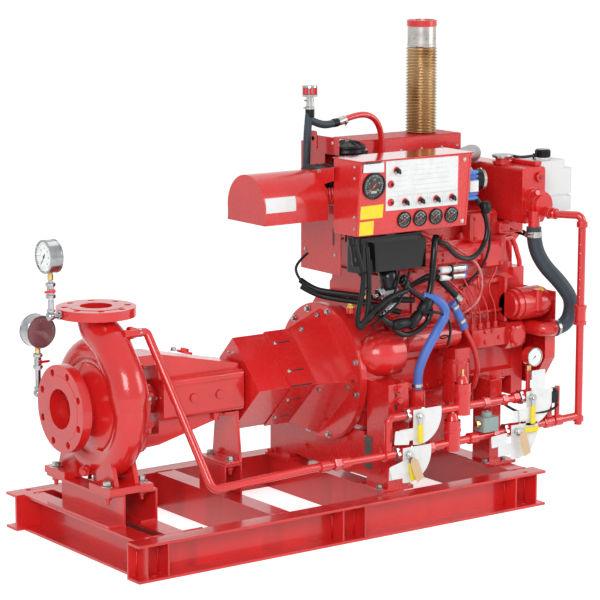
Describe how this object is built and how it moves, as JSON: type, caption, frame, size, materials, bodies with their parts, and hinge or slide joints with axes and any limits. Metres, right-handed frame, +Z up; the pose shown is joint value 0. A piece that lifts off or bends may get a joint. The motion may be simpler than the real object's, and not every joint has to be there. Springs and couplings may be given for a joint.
{
  "type": "diesel fire pump",
  "caption": "End-suction volute pump driven through a guarded coupling by a diesel engine, with cooling loop, control panel, gauges and exhaust on a channel-iron base.",
  "frame": {"origin": "centre of the four anchor holes, on the underside of the base", "axes": "+X along the shaft from the suction flange to the engine's front, +Z up along the discharge, -Y towards the control panel side"},
  "size_m": [2.076, 0.8343, 1.622],
  "materials": {
    "red_paint": "gloss",
    "red_casting": "gloss",
    "red_pipe": "gloss",
    "bronze": "satin",
    "stainless": "satin",
    "black_plastic": "gloss",
    "black_rubber": "satin",
    "blue_rubber": "satin",
    "white_plastic": "satin",
    "white_sheet": "satin",
    "brass_fitting": "satin",
    "plated_steel": "satin",
    "gauge_steel": "gloss"
  },
  "bodies": {
    "pump_set": {"air_cleaner": "black_plastic", "alternator": "red_casting", "bearing_bracket": "red_casting", "bearing_foot": "red_paint", "belt_drive": "red_casting", "belt_guard": "red_paint", "blue_hoses": "blue_rubber", "breather_pipe": "black_rubber", "bypass_pipe": "red_pipe", "casing_cover": "red_casting", "control_panel": "red_paint", "coolant_bottle": "white_plastic", "coolant_hose": "black_rubber", "cross_beams": "red_paint", "cylinder_head": "red_casting", "discharge_flange": "red_casting", "drive_coupling": "red_casting", "ecm_box": "black_plastic", "engine_block": "red_casting", "engine_feet_front": "red_paint", "engine_feet_rear": "red_paint", "exhaust_flex": "stainless", "exhaust_manifold": "red_casting", "flywheel_housing": "red_casting", "gauge_discharge": "gauge_steel", "gauge_suction": "gauge_steel", "guard_front": "red_paint", "guard_rear": "red_paint", "heat_exchanger": "red_paint", "heat_shield": "red_paint", "impeller": "bronze", "injection_pump": "red_casting", "intake_hood": "red_paint", "loop_lower": "red_pipe", "loop_riser": "red_pipe", "loop_upper": "red_pipe", "oil_filter": "red_paint", "oil_pan": "red_paint", "pump_casing": "red_casting", "pump_line": "red_pipe", "pump_pedestals": "red_paint", "rail_far": "red_paint", "rail_near": "red_paint", "raw_water_strainer": "red_paint", "rocker_cover": "red_paint", "solenoid_valve": "brass_fitting", "starter_motor": "red_paint", "suction_flange": "red_casting", "valve_plates": "white_sheet", "wiring_harness": "black_rubber"},
    "lever_low_left": {"lever_low_left": "plated_steel"},
    "lever_high_left": {"lever_high_left": "plated_steel"},
    "lever_low_right": {"lever_low_right": "plated_steel"},
    "lever_high_right": {"lever_high_right": "plated_steel"},
    "cock_lever_discharge": {"cock_lever_discharge": "red_paint"},
    "cock_lever_suction": {"cock_lever_suction": "red_paint"}
  },
  "joints": [
    {"name": "lever_low_left_pivot", "type": "hinge", "parent": "pump_set", "child": "lever_low_left", "pos_m": [0.224, -0.414, 0.26], "axis": [0, -1, 0], "range_deg": [-9, 81]},
    {"name": "lever_high_left_pivot", "type": "hinge", "parent": "pump_set", "child": "lever_high_left", "pos_m": [0.266, -0.414, 0.382], "axis": [0, -1, 0], "range_deg": [0, 90]},
    {"name": "lever_low_right_pivot", "type": "hinge", "parent": "pump_set", "child": "lever_low_right", "pos_m": [0.686, -0.414, 0.27369], "axis": [0, -1, 0], "range_deg": [-90, 0]},
    {"name": "lever_high_right_pivot", "type": "hinge", "parent": "pump_set", "child": "lever_high_right", "pos_m": [0.751, -0.414, 0.382], "axis": [0, -1, 0], "range_deg": [0, 90]},
    {"name": "cock_lever_discharge_pivot", "type": "hinge", "parent": "pump_set", "child": "cock_lever_discharge", "pos_m": [-0.872, -0.018, 0.855], "axis": [0, -1, 0], "range_deg": [-90, 0]},
    {"name": "cock_lever_suction_pivot", "type": "hinge", "parent": "pump_set", "child": "cock_lever_suction", "pos_m": [-0.829, 0.144, 0.6], "axis": [0, -1, 0], "range_deg": [0, 90]}
  ]
}
